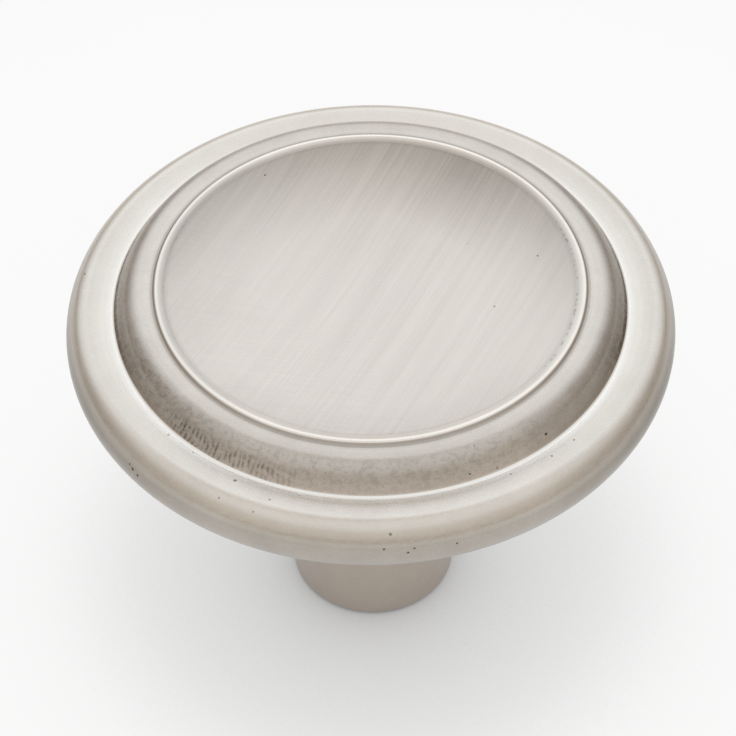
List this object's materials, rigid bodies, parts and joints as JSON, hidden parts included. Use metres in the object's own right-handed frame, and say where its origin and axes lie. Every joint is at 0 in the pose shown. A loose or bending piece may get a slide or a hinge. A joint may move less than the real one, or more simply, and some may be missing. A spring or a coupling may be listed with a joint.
{
  "type": "cabinet knob",
  "caption": "Round cabinet knob in satin nickel, with a shallow dished face inside a fine lip, a convex ring, a broad rounded rim and a slim stem with a tapped foot.",
  "frame": {"origin": "centre of the foot's face, where the knob meets the door", "axes": "+Z along the knob's axis, from the foot out through the face of the head"},
  "size_m": [0.0318, 0.0318, 0.0222],
  "materials": {
    "nickel": "satin nickel plate, brushed"
  },
  "bodies": {
    "root": {"knob": "nickel"}
  },
  "joints": []
}
